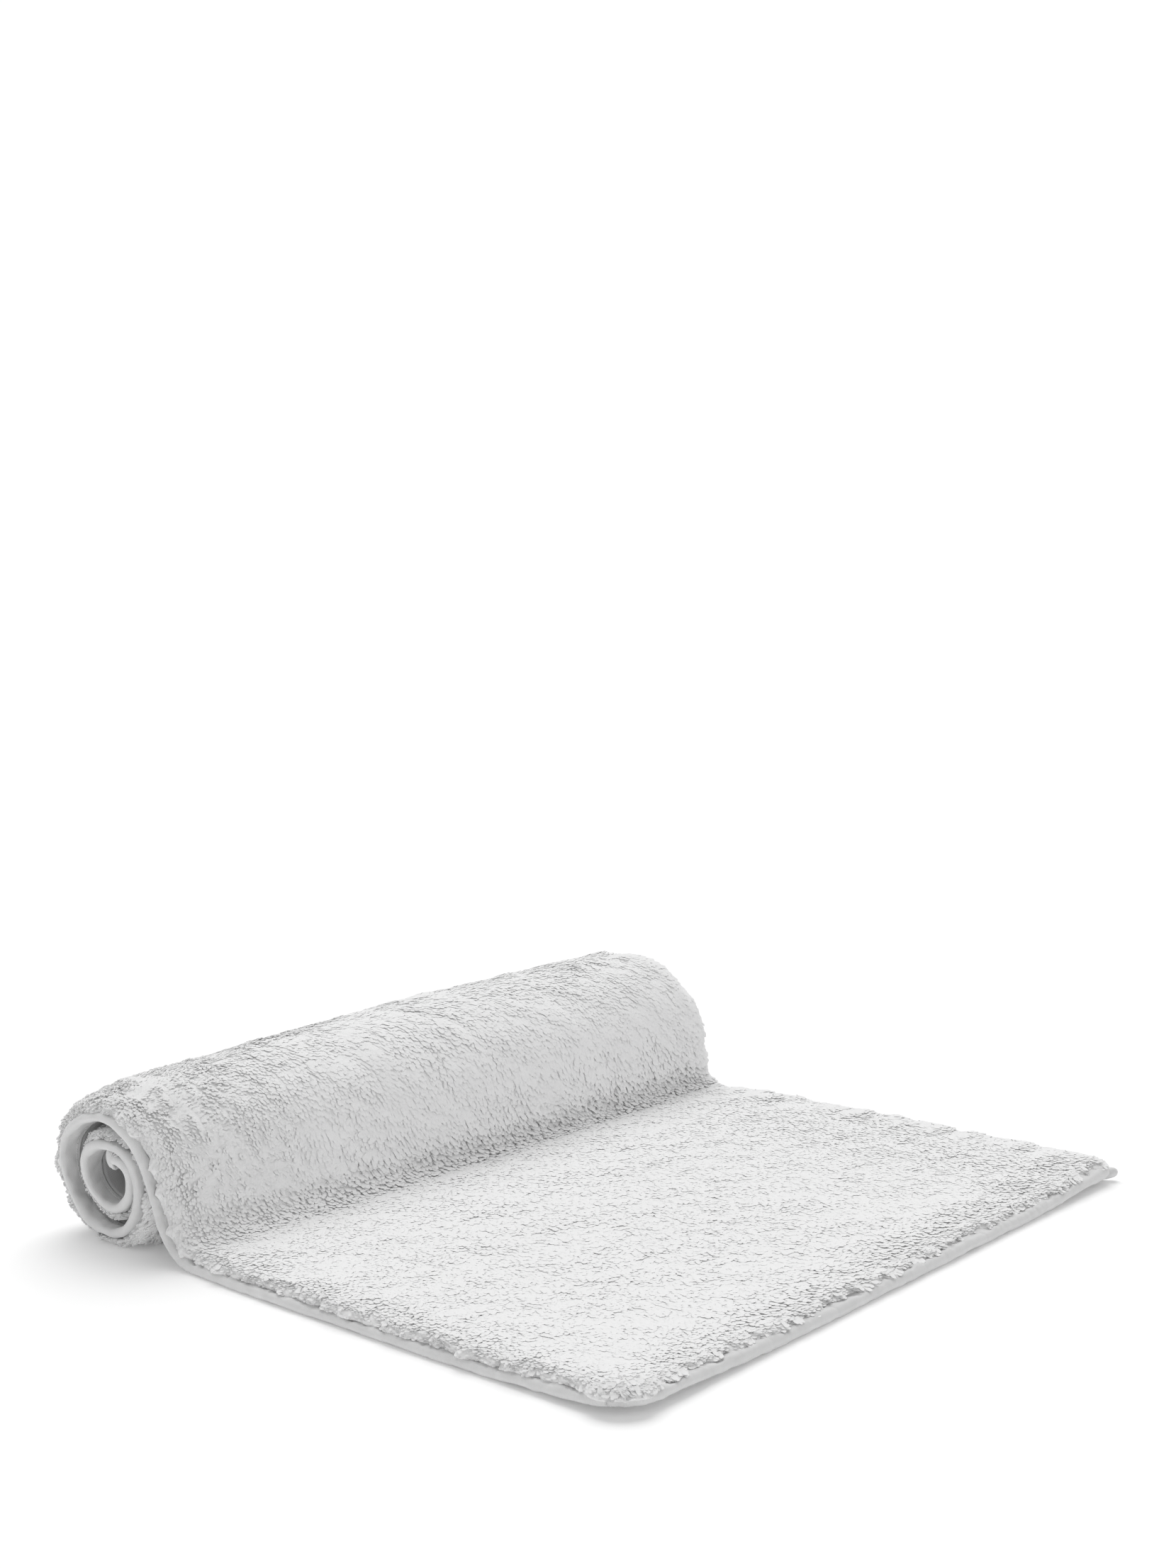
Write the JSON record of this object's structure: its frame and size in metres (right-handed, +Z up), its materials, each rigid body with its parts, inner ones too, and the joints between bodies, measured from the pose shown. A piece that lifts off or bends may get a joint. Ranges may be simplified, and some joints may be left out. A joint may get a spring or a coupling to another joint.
{
  "type": "bath mat",
  "caption": "White tufted shag bath mat with bound edges, lying flat with one end rolled up under itself, pile outwards.",
  "frame": {"origin": "on the floor, under the middle of the mat's bounding box as it lies with one end rolled up", "axes": "+Z up; +Y along the roll, across the mat's width; +X from the roll towards the free end"},
  "size_m": [0.56, 0.6, 0.1134],
  "materials": {
    "pile": "white cotton cut pile in thick soft twisted yarns, matt, tips leaning unevenly",
    "ground_cloth": "undyed woven cotton canvas that the tufts go through, matt",
    "backing": "off-white woven back cloth with a soft dry coat, matt, faintly wrinkled",
    "binding": "white woven cotton tape, softly puckered along its seam, matt",
    "thread": "white cotton sewing thread with a slight sheen"
  },
  "bodies": {
    "root": {"ground_cloth": "ground_cloth", "backing": "backing", "pile": "pile", "binding_near_side": "binding", "needle_thread_near_side": "thread", "bobbin_thread_near_side": "thread", "binding_far_side": "binding", "needle_thread_far_side": "thread", "bobbin_thread_far_side": "thread", "binding_free_end": "binding", "needle_thread_free_end": "thread", "bobbin_thread_free_end": "thread", "binding_rolled_end": "binding", "needle_thread_rolled_end": "thread", "bobbin_thread_rolled_end": "thread"}
  },
  "joints": []
}
